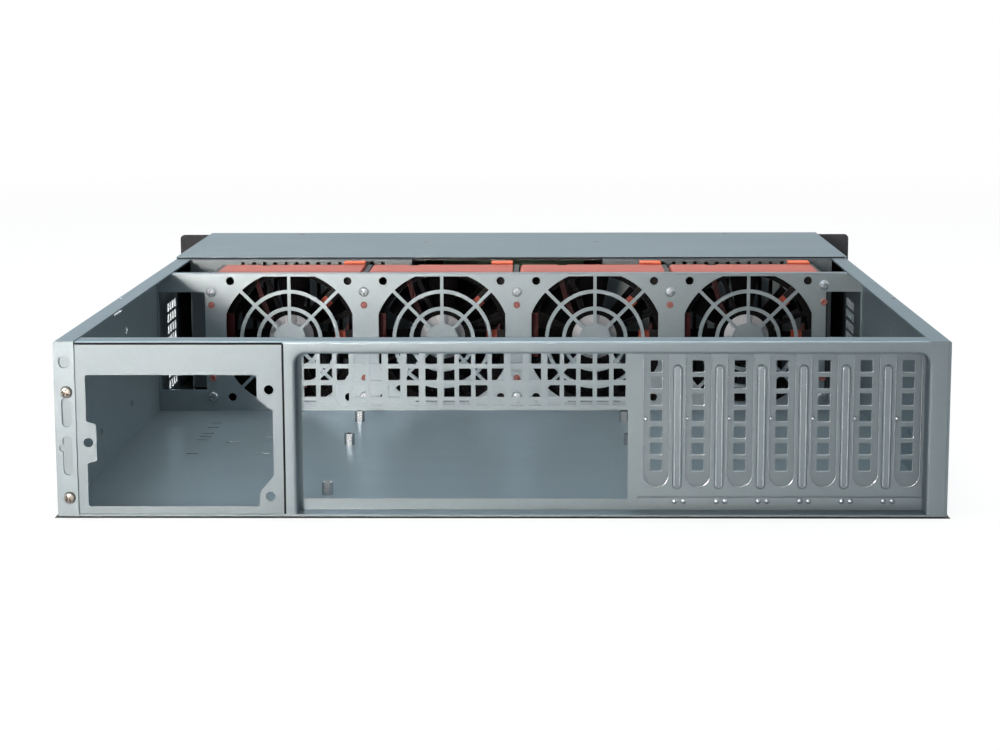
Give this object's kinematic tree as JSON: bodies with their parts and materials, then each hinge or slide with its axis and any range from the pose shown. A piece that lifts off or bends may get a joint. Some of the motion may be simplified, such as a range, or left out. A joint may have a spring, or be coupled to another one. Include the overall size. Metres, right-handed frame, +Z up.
{
  "type": "rackmount server case",
  "caption": "Empty rack-mounted server chassis with the rear lid off: open board bay, vented rear slots, power supply bay, and a wall of lift-out fans.",
  "frame": {"origin": "centre of the bounding box, on the underside", "axes": "+Z up, +Y towards the rear panel, -Y towards the rack ears, +X towards the power supply bay"},
  "size_m": [0.4826, 0.555, 0.0871],
  "materials": {
    "galvanised": "zinc-coated, satin",
    "screw_steel": "zinc-plated",
    "standoff_brass": "nickel-plated",
    "cage_plastic": "moulded coral",
    "fan_plastic": "moulded black",
    "motor_metal": "satin",
    "black_paint": "textured powder coat",
    "bezel_plastic": "fine texture",
    "lead_wire": "wire insulation",
    "filter_foam": "open-cell foam",
    "board": "solder mask",
    "lens": "clear",
    "socket_metal": "nickel-plated"
  },
  "bodies": {
    "chassis": {"chassis_tray": "galvanised", "rear_panel": "galvanised", "psu_bracket": "galvanised", "psu_bracket_screws": "screw_steel", "slot_cover_1": "galvanised", "slot_cover_2": "galvanised", "slot_cover_3": "galvanised", "slot_cover_4": "galvanised", "slot_cover_5": "galvanised", "slot_cover_6": "galvanised", "slot_cover_7": "galvanised", "fan_wall": "galvanised", "fan_wall_screws": "screw_steel", "fan_wall_rivets": "cage_plastic", "fan_guide_1": "galvanised", "fan_guide_2": "galvanised", "fan_guide_3": "galvanised", "fan_guide_4": "galvanised", "fan_guide_5": "galvanised", "standoffs": "standoff_brass", "drive_cage_left": "galvanised", "drive_cage_right": "galvanised", "front_cover": "galvanised", "cover_screws": "screw_steel", "front_panel": "black_paint", "dust_filter_left": "filter_foam", "dust_filter_right": "filter_foam", "rack_ear_left": "black_paint", "rack_ear_right": "black_paint", "ear_screws": "screw_steel", "bay_cover": "bezel_plastic", "control_panel": "bezel_plastic", "control_board": "board", "led_lenses": "lens", "usb_port_1": "socket_metal", "usb_port_2": "socket_metal"},
    "fan_module_1": {"fan_cage_1": "cage_plastic", "fan_frame_1": "fan_plastic", "fan_motor_cap_1": "motor_metal", "fan_lead_1": "lead_wire"},
    "fan_impeller_1": {"fan_rotor_1": "fan_plastic"},
    "fan_module_2": {"fan_cage_2": "cage_plastic", "fan_frame_2": "fan_plastic", "fan_motor_cap_2": "motor_metal", "fan_lead_2": "lead_wire"},
    "fan_impeller_2": {"fan_rotor_2": "fan_plastic"},
    "fan_module_3": {"fan_cage_3": "cage_plastic", "fan_frame_3": "fan_plastic", "fan_motor_cap_3": "motor_metal", "fan_lead_3": "lead_wire"},
    "fan_impeller_3": {"fan_rotor_3": "fan_plastic"},
    "fan_module_4": {"fan_cage_4": "cage_plastic", "fan_frame_4": "fan_plastic", "fan_motor_cap_4": "motor_metal", "fan_lead_4": "lead_wire"},
    "fan_impeller_4": {"fan_rotor_4": "fan_plastic"},
    "power_key": {"power_button": "bezel_plastic"},
    "reset_key": {"reset_button": "bezel_plastic"}
  },
  "joints": [
    {"name": "fan_lift_1", "type": "slide", "parent": "chassis", "child": "fan_module_1", "axis": [0, 0, 1], "range_m": [0, 0.1]},
    {"name": "fan_spin_1", "type": "hinge", "parent": "fan_module_1", "child": "fan_impeller_1", "pos_m": [0.1338, -0.037, 0.045], "axis": [0, 1, 0], "continuous": true},
    {"name": "fan_lift_2", "type": "slide", "parent": "chassis", "child": "fan_module_2", "axis": [0, 0, 1], "range_m": [0, 0.1]},
    {"name": "fan_spin_2", "type": "hinge", "parent": "fan_module_2", "child": "fan_impeller_2", "pos_m": [0.0407, -0.037, 0.045], "axis": [0, 1, 0], "continuous": true},
    {"name": "fan_lift_3", "type": "slide", "parent": "chassis", "child": "fan_module_3", "axis": [0, 0, 1], "range_m": [0, 0.1]},
    {"name": "fan_spin_3", "type": "hinge", "parent": "fan_module_3", "child": "fan_impeller_3", "pos_m": [-0.0524, -0.037, 0.045], "axis": [0, 1, 0], "continuous": true},
    {"name": "fan_lift_4", "type": "slide", "parent": "chassis", "child": "fan_module_4", "axis": [0, 0, 1], "range_m": [0, 0.1]},
    {"name": "fan_spin_4", "type": "hinge", "parent": "fan_module_4", "child": "fan_impeller_4", "pos_m": [-0.1455, -0.037, 0.045], "axis": [0, 1, 0], "continuous": true},
    {"name": "power_press", "type": "slide", "parent": "chassis", "child": "power_key", "axis": [0, 1, 0], "range_m": [0, 0.0015], "stiffness_N_per_m": 400, "springref_m": -0.0006},
    {"name": "reset_press", "type": "slide", "parent": "chassis", "child": "reset_key", "axis": [0, 1, 0], "range_m": [0, 0.0015], "stiffness_N_per_m": 400, "springref_m": -0.0006}
  ]
}
